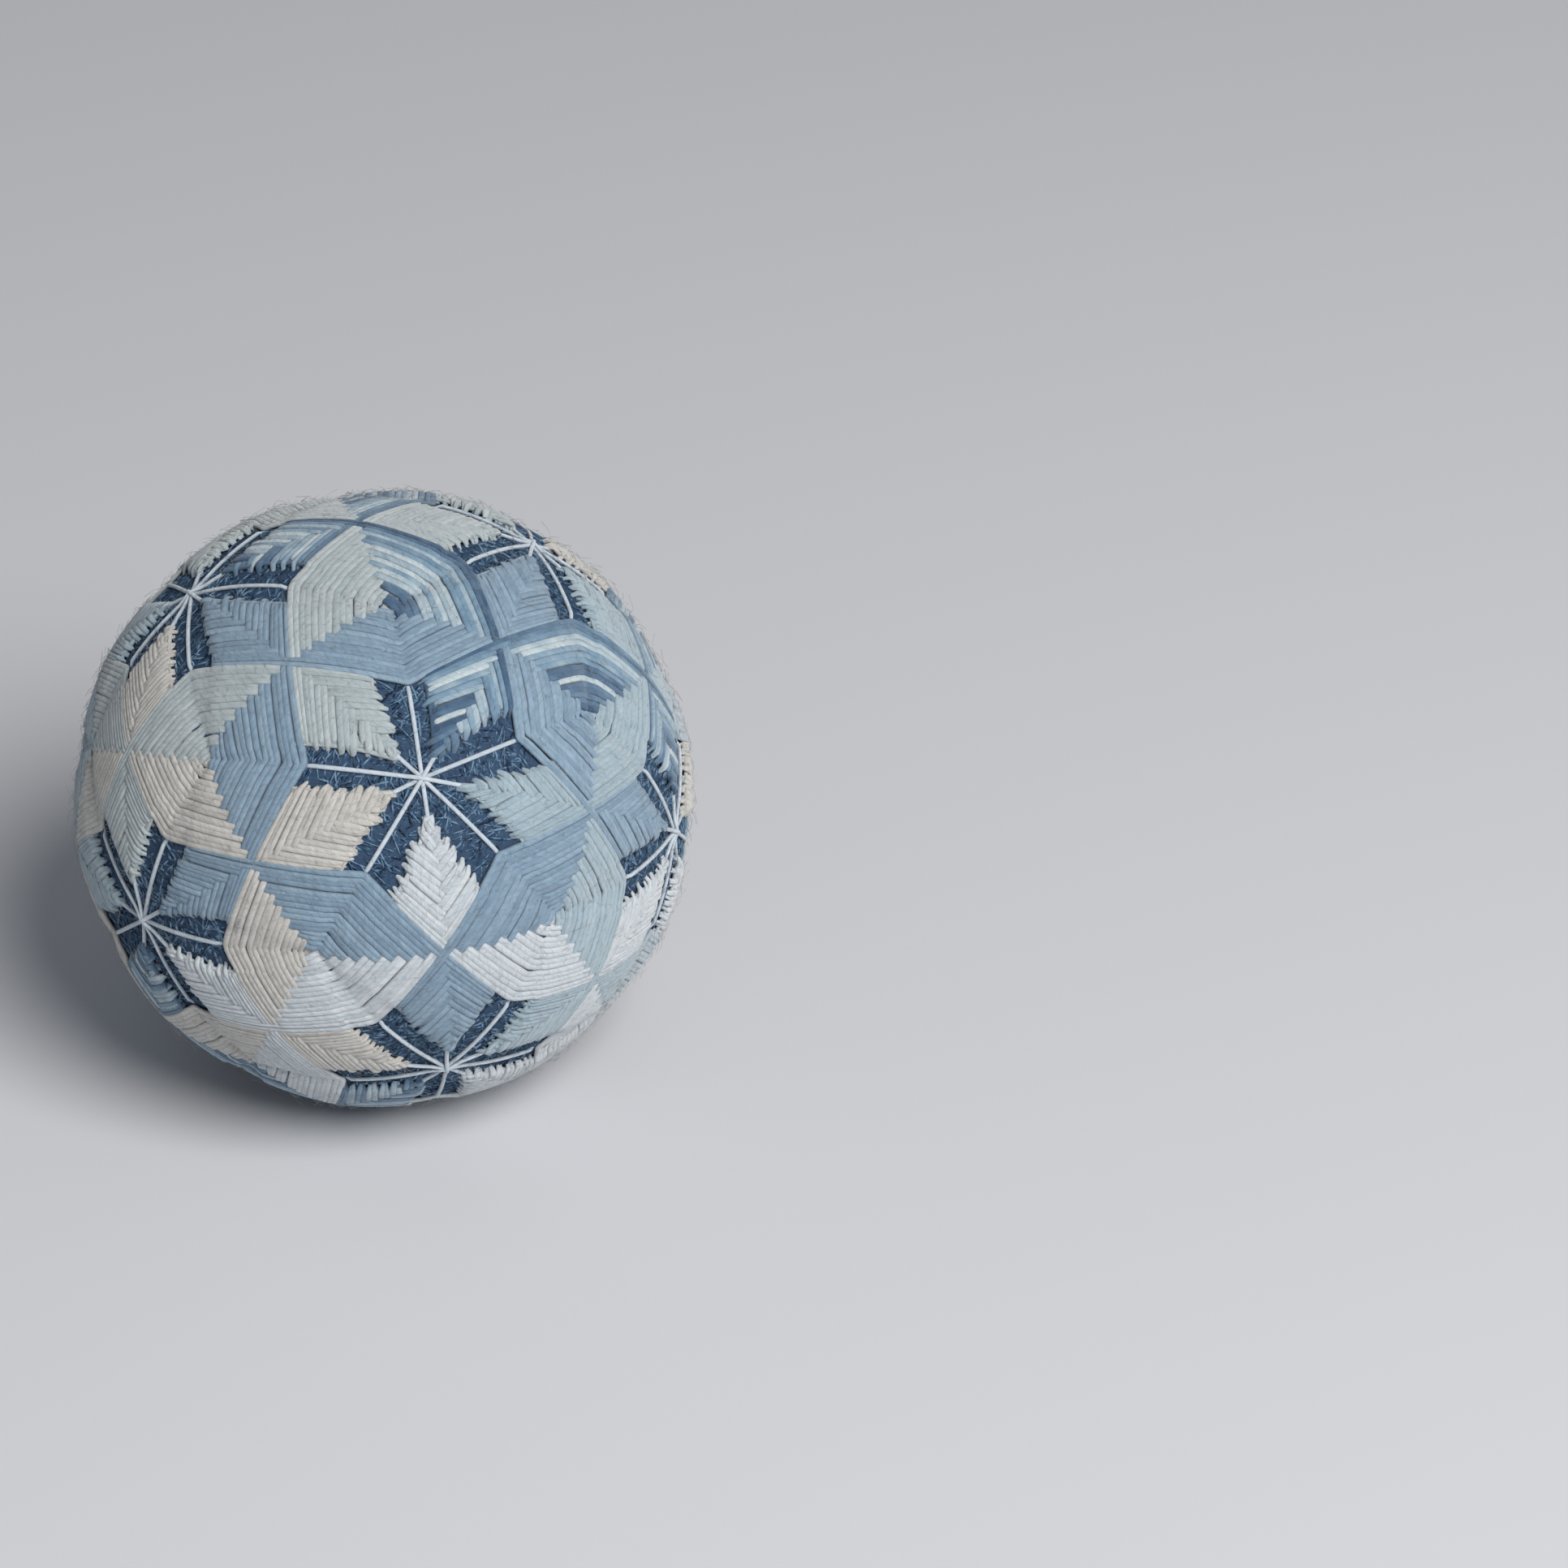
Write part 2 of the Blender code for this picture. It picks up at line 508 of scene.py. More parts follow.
def press_flat(points):
    """Press what would reach below the ground flat against it, where the ball rests."""
    squeezed = points.copy()
    z = points[:, 2]
    near = z < PRESS_DEPTH
    squeezed[near, 2] = PRESS_DEPTH * np.exp(np.minimum((z[near] - PRESS_DEPTH) / PRESS_DEPTH, 0))
    return squeezed


# %% Mesh of many closed tubes
MAP_STRIPS_A_COLUMN = 16
MAP_END_MARGIN = 0.02
MAP_SIDE_MARGIN = 0.3
# a tube's twist starts anywhere within this length, in millimetres
TWIST_START = 60


def chart(along_thread, round_thread, row, column, rows, columns):
    """A spot of a thread's own strip of the map."""
    return (column + along_thread) / columns, (row + round_thread) / rows


def tube_object(name, tubes, material, sides=6):
    """One mesh object of closed tubes. A tube is (path, lengths, width, thickness, dye_and_shade): its
    dye with any painted shade, per ring.
    """
    corners, faces, places, dyes, charts = [], [], [], [], []
    turn = np.arange(sides) * math.tau / sides
    columns = round(math.sqrt(len(tubes) / MAP_STRIPS_A_COLUMN))
    rows = math.ceil(len(tubes) / columns)
    start = 0
    for number, (path, lengths, width, thickness, dye_and_shade) in enumerate(tubes):
        outward, across = ring_axes(path)
        count = len(path)
        width = np.broadcast_to(width, count)[:, None, None] / 2
        thickness = np.broadcast_to(thickness, count)[:, None, None] / 2
        ring = path[:, None] + across[:, None] * np.cos(turn)[:, None] * width
        ring = ring + outward[:, None] * np.sin(turn)[:, None] * thickness
        corners.append(ring.reshape(-1, 3))
        place = np.empty((count, sides, 3))
        place[..., 0] = np.cos(turn)
        place[..., 1] = np.sin(turn)
        place[..., 2] = lengths[:, None] / MM + random.uniform(0, TWIST_START)
        places.append(place.reshape(-1, 3))
        dyes.append(np.repeat(np.broadcast_to(dye_and_shade, count), sides))
        first = start + np.arange(count - 1)[:, None] * sides + np.arange(sides)
        beside = start + np.arange(count - 1)[:, None] * sides + (np.arange(sides) + 1) % sides
        quads = np.stack([first, beside, beside + sides, first + sides], axis=-1).reshape(-1, 4)
        faces.extend(quads.tolist())
        along_map = (lengths / lengths[-1]) * (1 - 2 * MAP_END_MARGIN) + MAP_END_MARGIN
        row, column = divmod(number, columns)
        for ring_number in range(count - 1):
            left, right = along_map[ring_number], along_map[ring_number + 1]
            for side in range(sides):
                bottom = (side + MAP_SIDE_MARGIN) / (sides + 2 * MAP_SIDE_MARGIN)
                top = (side + 1 + MAP_SIDE_MARGIN) / (sides + 2 * MAP_SIDE_MARGIN)
                charts.extend(chart(left, bottom, row, column, rows, columns))
                charts.extend(chart(left, top, row, column, rows, columns))
                charts.extend(chart(right, top, row, column, rows, columns))
                charts.extend(chart(right, bottom, row, column, rows, columns))
        for cap, at in ((range(sides - 1, -1, -1), 0), (range(sides), count - 1)):
            faces.append([start + at * sides + side for side in cap])
            for side in range(sides):
                charts.extend(chart(along_map[at], side / sides, row, column, rows, columns))
        start += count * sides
    points = press_flat(np.concatenate(corners) + BALL_MIDDLE)
    mesh = bpy.data.meshes.new(name)
    mesh.from_pydata(points.tolist(), [], faces)
    mesh.shade_smooth()
    for title, kind, field, values in (
        ("twist_place", "FLOAT_VECTOR", "vector", np.concatenate(places)),
        ("dye_and_shade", "FLOAT", "value", np.concatenate(dyes)),
    ):
        attribute = mesh.attributes.new(title, kind, "POINT")
        attribute.data.foreach_set(field, values.astype(np.float32).ravel())
    layout = mesh.uv_layers.new(name="OFBake")
    layout.uv.foreach_set("vector", np.array(charts, np.float32))
    thing = bpy.data.objects.new(name, mesh)
    bpy.context.scene.collection.objects.link(thing)
    thing.data.materials.append(material)
    return thing


# %% [markdown]
# ## Cotton thread
#
# The stitching is soft pearl cotton: two plies of short fibres twisted together, mercerised only a
# little, so it is matt with a faint sheen and a bloom of loose fibre ends. Its colour comes from the
# dye inside the fibres, so there is no coating and no clear highlight. A turn of the twist is about
# 3.2 mm long on a thread 0.75 mm wide. Hand dyeing leaves lighter and darker lengths.
#
# The material works in the thread's own measure: it turns the place round the thread with the twist,
# draws fibres that run with it, and paints shade into the crease between the plies and into the seam
# where two threads lie side by side. Light goes a little way into cotton and comes out softened, so it
# scatters under the surface too.

# %% Colours and one function that adds a node
def linear(code):
    """A colour written as six sRGB hex digits, as linear RGBA."""
    values = [int(code[k:k + 2], 16) / 255 for k in (0, 2, 4)]
    return [v / 12.92 if v <= 0.04045 else ((v + 0.055) / 1.055) ** 2.4 for v in values] + [1.0]


def node(material, kind, inputs=None, **settings):
    """Add a node. Inputs are values to set or sockets to link from, by input name or number."""
    tree = material.node_tree
    made = tree.nodes.new(kind)
    for name, value in settings.items():
        setattr(made, name, value)
    for name, value in (inputs or {}).items():
        if isinstance(value, bpy.types.NodeSocket):
            tree.links.new(value, made.inputs[name])
        else:
            made.inputs[name].default_value = value
    return made


def new_material(name):
    """An empty material with one Principled shader, and that shader."""
    material = bpy.data.materials.new(name)
    material.use_nodes = True
    return material, material.node_tree.nodes["Principled BSDF"]


def link(material, start, end):
    """Join an output socket to an input socket."""
    material.node_tree.links.new(start, end)


# %% The material of every thread
# the length of a turn of the twist in millimetres, and how unevenly it turns, in radians
TWIST_PITCH = 3.2
TWIST_SWAY = 5.0
# how fine the fibres are, how drawn out, and how dark and light they get
FIBRES_ROUND = 4.0
FIBRE_STRETCH = 0.22
FIBRE_STREAKS = (0.74, 1.26)
# painted shade: the light kept in the crease between plies and beside it, and where the crease ends
PLY_CREASE_SHADE = (0.91, 1.02)
CREASE_WIDTH = 0.45
# painted shade: how far up a thread's side the darkened seam with the next one reaches
SEAM_SHADE_HEIGHT = 0.6
PLY_RELIEF = 0.6
COTTON_IOR = 1.53
COTTON_SPECULAR = 0.3
COTTON_ROUGHNESS = 0.82
FIBRE_SCATTER = 0.4
SCATTER_DEPTH = 0.3 * MM


def cotton(name, dark, plain, light, twist_depth=0.075, sheen=0.3, seam_shade=0.7,
           patch_rate=0.35, patch_depth=0.1):
    """Matt cotton thread whose dye_and_shade attribute runs from dark at 0, through plain at 0.5, to
    light at 1, with painted shade in its crease and seams.
    """
    material, shader = new_material(name)
    dye_and_shade = node(material, "ShaderNodeAttribute", attribute_name="dye_and_shade")
    place = node(material, "ShaderNodeAttribute", attribute_name="twist_place")
    parts = node(material, "ShaderNodeSeparateXYZ", {0: place.outputs["Vector"]})
    lengthwise = node(material, "ShaderNodeTexNoise",
                      {"W": parts.outputs["Z"], "Scale": patch_rate, "Detail": 2.0},
                      noise_dimensions="1D")
    angle = node(material, "ShaderNodeMath", {0: parts.outputs["Z"], 1: math.tau / TWIST_PITCH},
                 operation="MULTIPLY")
    sway = node(material, "ShaderNodeMath",
                {0: lengthwise.outputs[0], 1: TWIST_SWAY, 2: angle.outputs[0]},
                operation="MULTIPLY_ADD")
    twisted = node(material, "ShaderNodeVectorRotate",
                   {"Vector": place.outputs["Vector"], "Angle": sway.outputs[0]},
                   rotation_type="Z_AXIS")
    stretched = node(material, "ShaderNodeMapping",
                     {"Vector": twisted.outputs[0], "Scale": (1.0, 1.0, FIBRE_STRETCH)})
    fibres = node(material, "ShaderNodeTexNoise",
                  {"Vector": stretched.outputs[0], "Scale": FIBRES_ROUND, "Detail": 4.0,
                   "Roughness": 0.7})
    turned = node(material, "ShaderNodeSeparateXYZ", {0: twisted.outputs[0]})
    plies = node(material, "ShaderNodeMath", {0: turned.outputs["X"]}, operation="ABSOLUTE")
    shade = node(material, "ShaderNodeMapRange",
                 {"Value": lengthwise.outputs[0], "From Min": 0.25, "From Max": 0.75,
                  "To Min": -patch_depth, "To Max": patch_depth})
    amount = node(material, "ShaderNodeMath", {0: dye_and_shade.outputs["Fac"], 1: shade.outputs[0]})
    colours = node(material, "ShaderNodeValToRGB", {"Fac": amount.outputs[0]})
    ramp = colours.color_ramp.elements
    ramp[0].color, ramp[1].color = linear(dark), linear(light)
    ramp.new(0.5).color = linear(plain)
    streaks = node(material, "ShaderNodeMapRange",
                   {"Value": fibres.outputs[0], "From Min": 0.25, "From Max": 0.75,
                    "To Min": FIBRE_STREAKS[0], "To Max": FIBRE_STREAKS[1]})
    # painted shade: the crease between the plies is darkened
    crease_shade = node(material, "ShaderNodeMapRange",
                  {"Value": plies.outputs[0], "From Min": 0.0, "From Max": CREASE_WIDTH,
                   "To Min": PLY_CREASE_SHADE[0], "To Max": PLY_CREASE_SHADE[1]})
    # painted shade: a thread's sides and underside are darkened where it lies against the next thread
    sides = node(material, "ShaderNodeMapRange",
                 {"Value": parts.outputs["Y"], "From Min": 0.0, "From Max": SEAM_SHADE_HEIGHT,
                  "To Min": seam_shade, "To Max": 1.0})
    # fibre streaks times the painted shade of the crease and the seams
    streaks_and_painted_shade = node(material, "ShaderNodeMath", {0: streaks.outputs[0], 1: crease_shade.outputs[0]},
                      operation="MULTIPLY")
    streaks_and_painted_shade = node(material, "ShaderNodeMath", {0: streaks_and_painted_shade.outputs[0], 1: sides.outputs[0]},
                      operation="MULTIPLY")
    # the dye's colour darkened by fibre streaks and painted shade
    streaked_and_shaded_colour = node(material, "ShaderNodeVectorMath",
                {0: colours.outputs[0], "Scale": streaks_and_painted_shade.outputs[0]}, operation="SCALE")
    relief = node(material, "ShaderNodeMath",
                  {0: plies.outputs[0], 1: PLY_RELIEF, 2: fibres.outputs[0]},
                  operation="MULTIPLY_ADD")
    bump = node(material, "ShaderNodeBump",
                {"Height": relief.outputs[0], "Strength": 1.0, "Distance": twist_depth * MM})
    link(material, streaked_and_shaded_colour.outputs[0], shader.inputs["Base Color"])
    link(material, bump.outputs[0], shader.inputs["Normal"])
    shader.inputs["Roughness"].default_value = COTTON_ROUGHNESS
    shader.inputs["IOR"].default_value = COTTON_IOR
    shader.inputs["Specular IOR Level"].default_value = COTTON_SPECULAR
    shader.inputs["Sheen Weight"].default_value = sheen
    shader.inputs["Sheen Roughness"].default_value = 0.6
    shader.inputs["Subsurface Weight"].default_value = FIBRE_SCATTER
    shader.inputs["Subsurface Radius"].default_value = (1.0, 1.0, 1.0)
    shader.inputs["Subsurface Scale"].default_value = SCATTER_DEPTH
    return material


# %% The six dyes of the stitching
COTTONS = {
    # slot: dark, plain and light dye
    "mid_blue_cotton": ("5c758b", "7a93a7", "96afc1"),
    "deep_blue_cotton": ("2e4e6d", "6f8ea5", "b2c1c7"),
    "pale_blue_cotton": ("7a92a2", "90a6b2", "a6b8c1"),
    "pale_green_cotton": ("889a9e", "a0adb2", "b6c0c2"),
    "cool_white_cotton": ("a5b3bc", "b9c3ca", "cad1d5"),
    "cream_cotton": ("a2a39e", "b5b5b1", "c4c4c1"),
}
STAR_COTTONS = [
    "mid_blue_cotton", "deep_blue_cotton", "pale_blue_cotton",
    "cool_white_cotton", "cream_cotton", "pale_green_cotton",
    "mid_blue_cotton", "deep_blue_cotton", "pale_blue_cotton",
    "pale_green_cotton", "cream_cotton", "cool_white_cotton",
]
# light scatters between pale threads and fills their seams, so their painted seam shade is lighter, and
# their bloom of fibres shows more
DARK_DYES = ("mid_blue_cotton", "deep_blue_cotton")
# the shader's sheen, and how light the painted shade of the seams stays
DARK_SHEEN_AND_SEAM_SHADE = {"sheen": 0.2, "seam_shade": 0.6}
PALE_SHEEN_AND_SEAM_SHADE = {"sheen": 0.42, "seam_shade": 0.8}
cottons = {}
for name, dyes in COTTONS.items():
    cottons[name] = cotton(name, *dyes, **(DARK_SHEEN_AND_SEAM_SHADE if name in DARK_DYES else PALE_SHEEN_AND_SEAM_SHADE))
print(len(cottons), "dyes of cotton")

# %% [markdown]
# ## The stars
#
# Now the stitching itself. A star is five V-shaped threads a round, doubled, for eight rounds. Two
# stars, one opposite the other, were stitched with thread dyed in lengths from deep blue to nearly
# white, so the dye changes from one thread to the next in no even order. The table holds three such
# sequences, and the five arms take them in turn. The other stars differ from thread to thread only
# as much as one skein does.

# %% Dye of each thread
PLAIN_DYE = 0.5
SKEIN_SPREAD = 0.09
SPACE_DYE_SPREAD = 0.04


def skein_dye(star, pad, own_round, which):
    """The dye of a thread of a plain skein: nearly even, a little different each round."""
    return PLAIN_DYE + random.normal(0, SKEIN_SPREAD)


SPACE_DYED = [
    # threads from the last to the first: 0 deep, 0.5 mid, 1 pale
    (0.30, 0.26, 0.40, 0.88, 0.86, 0.54, 0.62, 0.56, 0.14, 0.16, 0.96, 0.30, 0.22, 0.26, 0.20, 0.14),
    (0.06, 0.12, 0.48, 0.66, 0.50, 0.46, 0.86, 0.74, 0.92, 0.62, 0.86, 0.80, 0.30, 0.18, 0.12, 0.05),
    (0.22, 0.34, 0.62, 0.52, 0.82, 0.78, 0.40, 0.28, 0.60, 0.90, 0.48, 0.22, 0.16, 0.36, 0.18, 0.10),
]
SPACE_DYED_STARS = (1, 7)


def space_dye(star, pad, own_round, which):
    """The dye of a thread dyed in lengths: the colour changes from thread to thread."""
    arm = [p for p in pads if star in p].index(pad)
    sequence = SPACE_DYED[arm % len(SPACE_DYED)]
    return sequence[2 * own_round + (which > 0)] + random.normal(0, SPACE_DYE_SPREAD)


print("space-dyed stars:", [star + 1 for star in SPACE_DYED_STARS])

# %% Widths of the threads
FULLNESS = 1.36
THINNEST = 0.6 * MM
WIDEST = 1.25 * MM
THICKNESS = 0.56 * MM
END_WIDTH = 0.6
NARROWING_LENGTH = 1.7 * MM
# how far the dye changes along a thread, and how much painted shade darkens its ends, where they dive
# into the ball
SPACE_DYE_DRIFT = 0.12
SKEIN_DRIFT = 0.05
END_SHADE = 0.10
END_SHADE_REACH = 0.6 * MM

# %% Stitch the stars
star_pieces, spacings, paths_of_star = [], [], []
for star in range(len(stars)):
    tubes = []
    space_dyed = star in SPACE_DYED_STARS
    dyer = space_dye if space_dyed else skein_dye
    drift = SPACE_DYE_DRIFT if space_dyed else SKEIN_DRIFT
    for pad in (p for p in pads if star in p):
        for own_round in range(ROUNDS):
            for which in (-1, 1):
                path, lengths, spacing = bent_thread(star, pad, own_round, which)
                dye_and_shade = dyer(star, pad, own_round, which)
                dye_and_shade = dye_and_shade + random.normal(0, drift) * np.linspace(-1, 1, len(path))
                from_end = np.minimum(lengths, lengths[-1] - lengths)
                narrowing = END_WIDTH + (1 - END_WIDTH) * eased(from_end / NARROWING_LENGTH)
                width = np.clip(spacing * FULLNESS, THINNEST, WIDEST) * narrowing
                # painted shade: each end is darkened where it dives into the ball
                shade = dye_and_shade - END_SHADE * np.exp(-((from_end / END_SHADE_REACH) ** 2))
                tubes.append((path, lengths, width, THICKNESS * narrowing, shade))
                spacings.append(spacing)
    paths_of_star.append([tube[0] for tube in tubes])
    slot_name = STAR_COTTONS[star]
    piece = tube_object(f"star_{star + 1:02d}_threads", tubes, cottons[slot_name])
    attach(piece, "root")
    star_pieces.append(piece)
print(len(star_pieces), "stars,", sum(len(p.data.polygons) for p in star_pieces), "faces")
print("thread spacing", np.round(np.percentile(spacings, [1, 25, 50, 75, 99]) / MM, 2), "mm")

# %% [markdown]
# ## The winding
#
# Under the stitching the ball is wound at random with fine navy sewing thread, hundreds of metres of
# it, until it is firm and round. Only a little of it shows, in the bands round each star. A sphere
# in dark navy stands for all that lies deeper, and the top threads are short arcs laid across the
# bands in every direction, with painted light making those that lie higher paler and painted shade
# making lower ones darker. Real sewing thread is about 0.2 mm thick. The arcs are drawn at one to
# two times that, so that single ones show.

# %% The wound core
NAVY = ("15253d", "365675", "7090ad")
CORE_SHADES = ("142238", "3c5875")
CORE_SPECKLES = 2.4 / MM
CORE_GAP = 0.02 * MM
CORE_FOOT = 0.1 * MM

# the winding's arcs get the same painted shade in their crease and seams
navy = cotton("navy_winding", *NAVY, twist_depth=0.03, sheen=0.0, seam_shade=0.75,
              patch_rate=0.9, patch_depth=0.45)

bpy.ops.mesh.primitive_ico_sphere_add(subdivisions=5, radius=WINDING_RADIUS - CORE_GAP,
                                      location=BALL_MIDDLE)
core = bpy.context.object
core.name = "wound_core"
bpy.ops.object.transform_apply(location=True, rotation=False, scale=False)
for vertex in core.data.vertices:
    vertex.co.z = max(vertex.co.z, CORE_FOOT)
core.data.shade_smooth()
mottled, shader = new_material("navy_core")
ground = node(mottled, "ShaderNodeTexCoord")
speckles = node(mottled, "ShaderNodeTexNoise",
                {"Vector": ground.outputs["Object"], "Scale": CORE_SPECKLES, "Detail": 4.0})
shades = node(mottled, "ShaderNodeValToRGB", {"Fac": speckles.outputs[0]})
for element, colour in zip(shades.color_ramp.elements, CORE_SHADES):
    element.color = linear(colour)
link(mottled, shades.outputs[0], shader.inputs["Base Color"])
shader.inputs["Roughness"].default_value = 0.85
shader.inputs["IOR"].default_value = COTTON_IOR
shader.inputs["Specular IOR Level"].default_value = COTTON_SPECULAR
core.data.materials.append(mottled)
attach(core, "root")
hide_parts("temari_ball")
print("core has", len(core.data.polygons), "faces")

# %% Arcs of winding thread
FINE_THREAD = 0.46 * MM
ARCS_PER_BAND = 185
ARC_SPREAD = 3.2
ARC_HEADING = 0.7
# half lengths, heights and how far the ends sink, in millimetres
ARC_HALVES = (0.8, 2.4)
ARC_LEVELS = (-0.10, 0.12)
ARC_SINK = 0.22
ARC_DYE = 0.44
ARC_DYE_SPREAD = 0.28

tubes = []
for star in range(len(stars)):
    for pad in (p for p in pads if star in p):
        ray_end = pad_corner(star, pad)
        sideways = unit(np.cross(stars[star], ray_end))
        for number in range(ARCS_PER_BAND):
            where = along(stars[star], ray_end, random.uniform(0.0, 1.05))
            where = unit(where + sideways * random.uniform(-ARC_SPREAD, ARC_SPREAD) * MM / BALL_RADIUS)
            onward = unit(np.cross(sideways, where))
            heading = random.normal(0, ARC_HEADING)
            direction = unit(sideways * math.cos(heading) + onward * math.sin(heading))
            half = random.uniform(*ARC_HALVES) * MM / BALL_RADIUS
            steps = np.linspace(-half, half, 3)[:, None]
            arc = where * np.cos(steps) + direction * np.sin(steps)
            level = random.uniform(*ARC_LEVELS) * MM
            sunk = ARC_SINK * (steps / half) ** 2 * MM
            path = arc * (WINDING_RADIUS + level - sunk)
            lengths = (steps[:, 0] + half) * BALL_RADIUS
            # painted light and shade: arcs that lie higher are made paler and lower ones darker
            dye_and_shade = np.clip(ARC_DYE + level / MM * 2.0 + random.normal(0, ARC_DYE_SPREAD), 0, 1)
            width = FINE_THREAD * random.uniform(0.5, 1.0)
            tubes.append((path, lengths, width, width * 0.6, np.full(3, dye_and_shade)))
navy_paths = np.array([tube[0] for tube in tubes])
winding = tube_object("winding_threads", tubes, navy, sides=3)
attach(winding, "root")
print(len(tubes), "arcs of winding thread")

# %% [markdown]
# ## White guide threads
#
# The division of the ball stays in the finished work as taut white threads. Five of them cross at
# each star point, one over the other, so ten rays leave it: five long ones down the middle of the
# bands, which slip under the pads' corners, and five short ones that slip under the kites' tips.

# %% Guide threads
GUIDE_WIDTH = 0.61 * MM
GUIDE_COTTON = ("97a5b2", "b2bfca", "c5d0d8")
GUIDE_HEIGHT = 0.24 * MM
GUIDE_STACK = 0.17 * MM
STACK_REACH = 1.3 * MM
GUIDE_DIVE = 0.6 * MM
DIVE_START = 0.9 * MM
GUIDE_DIVE_LENGTH = 1.2 * MM
HIDDEN_SHARE = 0.10
HIDDEN_END = 2.5 * MM
RAY_STEPS = 14

guide_cotton = cotton("white_guide_thread", *GUIDE_COTTON, twist_depth=0.03)
tubes = []
for star in range(len(stars)):
    own_pads = [p for p in pads if star in p]
    for order, pad in enumerate(own_pads):
        start = along(stars[star], pads[pad], CORNER_SHARE + HIDDEN_SHARE)
        away = min(neighbours[star], key=lambda other: between(star, other) @ pads[pad])
        target = between(star, away)
        tip = uneven(KITE_TIPS, (star, away), KITE_TIP)
        finish = along(stars[star], target, (tip + HIDDEN_END) / distance(stars[star], target))
        share = np.linspace(0, 1, RAY_STEPS + 1)[1:]
        long_ray = along(start, stars[star], share[:-1])
        short_ray = along(stars[star], finish, share)
        arc = unit(np.concatenate([[start], long_ray, [stars[star]], short_ray]))
        for _ in range(2):
            arc[1:-1] = unit((arc[:-2] + 2 * arc[1:-1] + arc[2:]) / 4)
        off_centre = np.arccos(np.clip(arc @ stars[star], -1, 1)) * BALL_RADIUS
        height = GUIDE_HEIGHT + GUIDE_STACK * order * np.exp(-((off_centre / STACK_REACH) ** 2))
        corner_reach = distance(stars[star], pad_corner(star, pad))
        height -= GUIDE_DIVE * eased((off_centre - corner_reach + DIVE_START) / GUIDE_DIVE_LENGTH)
        path = arc * (WINDING_RADIUS + height)[:, None]
        lengths = np.concatenate([[0], np.cumsum(np.linalg.norm(np.diff(path, axis=0), axis=1))])
        dye_and_shade = np.full(len(path), 0.5 + random.normal(0, 0.06))
        tubes.append((path, lengths, GUIDE_WIDTH, GUIDE_WIDTH * 0.86, dye_and_shade))
guides = tube_object("guide_threads", tubes, guide_cotton, sides=8)
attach(guides, "root")
print(len(tubes), "guide threads")

# %% [markdown]
# ## Loose fibres
#
# Soft cotton sheds: short fibre ends stand off every thread and blur the ball's outline. Real ones
# are about two hundredths of a millimetre thick, and these are drawn at twice that, so that they
# show. Each is a thin bent tube of its star's own cotton, rooted on a thread and leaning at random.

# %% Loose fibre ends
FIBRES_PER_STAR = 1150
NAVY_FIBRES = 2600
FIBRE_WIDTH = 0.045 * MM
FIBRE_TAPER = 0.6
FIBRE_REACH = 0.32
FIBRE_START = 0.2 * MM
FIBRE_LEAN = 0.9
FIBRE_CURL = 0.5
FIBRE_DYE = 0.9


def fibre(thread_path):
    """One loose fibre end that rises from somewhere on a thread."""
    margin = min(2, len(thread_path) // 2)
    root = thread_path[random.integers(margin, len(thread_path) - margin)]
    out = unit(root)
    lean = unit(np.cross(out, random.normal(size=3)))
    sideways = np.cross(out, lean)
    reach = random.gamma(3.0, FIBRE_REACH) * MM
    curl = random.normal(0, FIBRE_CURL)
    t = np.linspace(0, 1, 3)[:, None]
    rise = out * (FIBRE_START + reach * (0.75 * t - 0.35 * t * t))
    path = root + rise + (lean * t * FIBRE_LEAN + sideways * curl * t * t) * reach
    width = FIBRE_WIDTH * (1 - FIBRE_TAPER * t[:, 0])
    return path, t[:, 0] * reach, width, FIBRE_WIDTH, np.full(3, FIBRE_DYE)


navy_fibres = [fibre(thread_path) for thread_path in random.permutation(navy_paths)[:NAVY_FIBRES]]
navy_fuzz = tube_object("winding_fibres", navy_fibres, navy, sides=3)
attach(navy_fuzz, "root")

for star, piece in enumerate(star_pieces):
    fibres = [fibre(random.choice(paths_of_star[star])) for _ in range(FIBRES_PER_STAR)]
    fuzz = tube_object(f"star_{star + 1:02d}_fibres", fibres, cottons[STAR_COTTONS[star]], sides=3)
    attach(fuzz, "root")
print(FIBRES_PER_STAR * len(star_pieces) + NAVY_FIBRES, "fibre ends")

# %% [markdown]
# ## Setting, light and camera
#
# The ball stands on a plain pale sheet of matt paper, seen from a third of the way up. One large soft
# light comes from the front right, so the left side turns into shade and the shadow falls to the
# left and behind. The sky gives an even fill.

# %% Floor
FLOOR_SIZE = 8
FLOOR_COLOUR = "cccfd4"

bpy.ops.mesh.primitive_plane_add(size=FLOOR_SIZE, location=(0, 0, 0))
floor = bpy.context.object
floor.name = "floor"
sheet, shader = new_material("pale_floor")
shader.inputs["Base Color"].default_value = linear(FLOOR_COLOUR)
shader.inputs["Roughness"].default_value = 0.9
floor.data.materials.append(sheet)
print("floor is", FLOOR_SIZE, "m across")

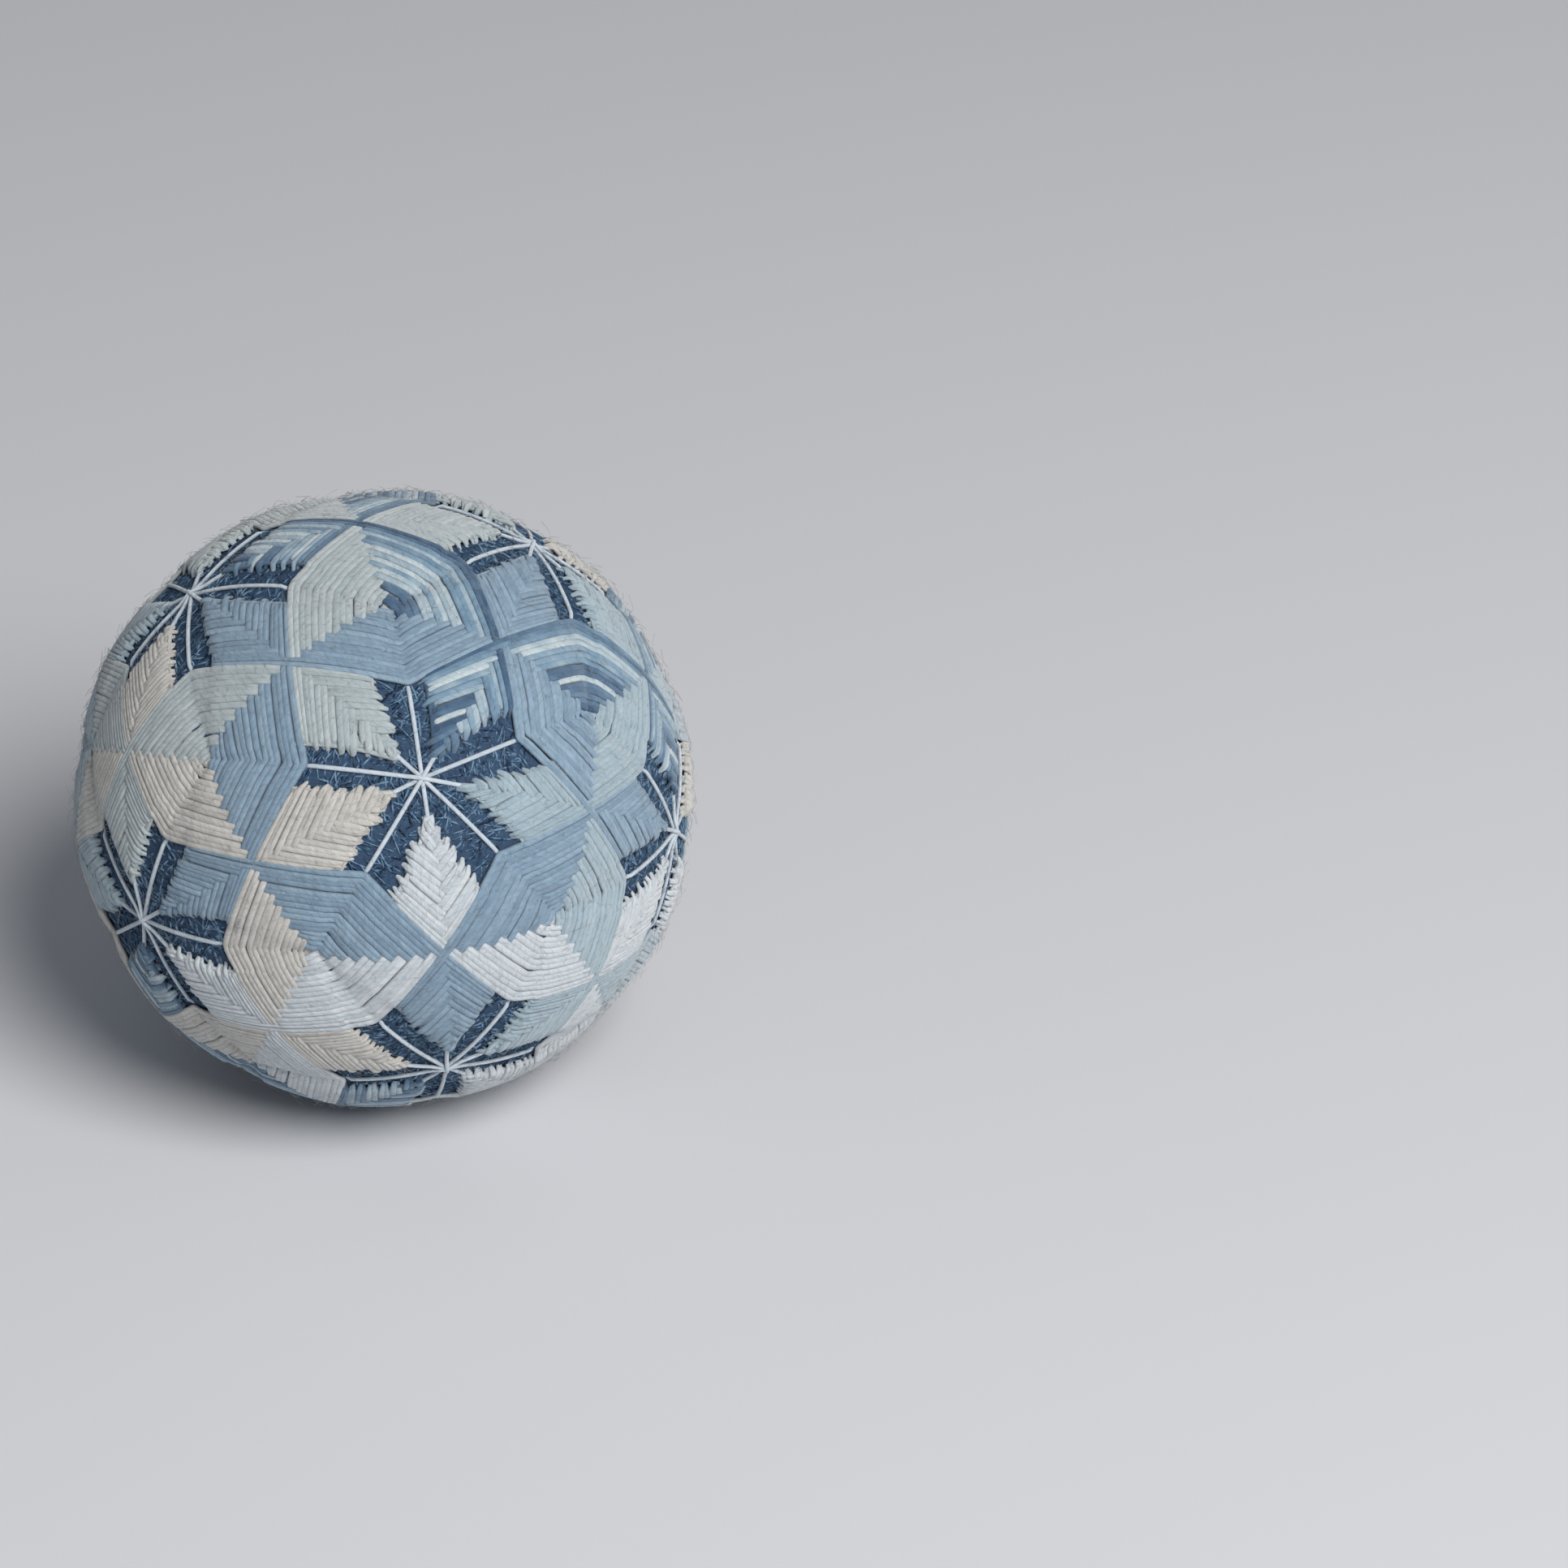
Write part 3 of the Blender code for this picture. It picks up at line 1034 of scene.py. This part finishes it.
# %% Lights
def soft_light(name, place, aim, size, power, colour):
    """A round area light that looks at a spot."""
    light = bpy.data.lights.new(name, "AREA")
    light.shape = "DISK"
    light.size = size
    light.energy = power
    light.color = linear(colour)[:3]
    lamp = bpy.data.objects.new(name, light)
    lamp.location = place
    lamp.rotation_euler = (Vector(aim) - Vector(place)).to_track_quat("-Z", "Y").to_euler()
    bpy.context.scene.collection.objects.link(lamp)
    return lamp


KEY_PLACE = (0.66, -0.98, 1.14)
KEY_AIM = (0.1, 0, 0)
KEY_SIZE = 0.88
KEY_POWER = 30.4
KEY_COLOUR = "fffaf6"
SKY_COLOUR = "e3e7ee"
SKY_STRENGTH = 0.26

soft_light("key", KEY_PLACE, KEY_AIM, KEY_SIZE, KEY_POWER, KEY_COLOUR)
world = bpy.data.worlds.new("studio")
bpy.context.scene.world = world
world.use_nodes = True
world.node_tree.nodes["Background"].inputs["Color"].default_value = linear(SKY_COLOUR)
world.node_tree.nodes["Background"].inputs["Strength"].default_value = SKY_STRENGTH
print("key light of", KEY_POWER, "W from", KEY_PLACE)

# %% Camera
CAMERA_ELEVATION = math.radians(30)
# how far the camera stands back and aside from the ball's middle, in ball radii
CAMERA_REACH = 18.80
CAMERA_ASIDE = (-1.288, -0.045)
SENSOR_WIDTH = 36
FOCAL_LENGTH = 133.8

right = np.array([1, 0, 0])
up = np.array([0, math.sin(CAMERA_ELEVATION), math.cos(CAMERA_ELEVATION)])
back = np.array([0, -math.cos(CAMERA_ELEVATION), math.sin(CAMERA_ELEVATION)])
aside = right * CAMERA_ASIDE[0] + up * CAMERA_ASIDE[1]
place = BALL_MIDDLE + BALL_RADIUS * (back * CAMERA_REACH - aside)
lens = bpy.data.cameras.new("camera")
lens.sensor_width = SENSOR_WIDTH
lens.lens = FOCAL_LENGTH
lens.clip_start = 0.05
camera = bpy.data.objects.new("camera", lens)
rows = [[right[k], up[k], back[k], place[k]] for k in range(3)]
camera.matrix_world = Matrix(rows + [[0, 0, 0, 1]])
bpy.context.scene.collection.objects.link(camera)
bpy.context.scene.camera = camera
bpy.context.scene.view_settings.view_transform = "Standard"
print("camera at", [round(float(v), 3) for v in place], "m")
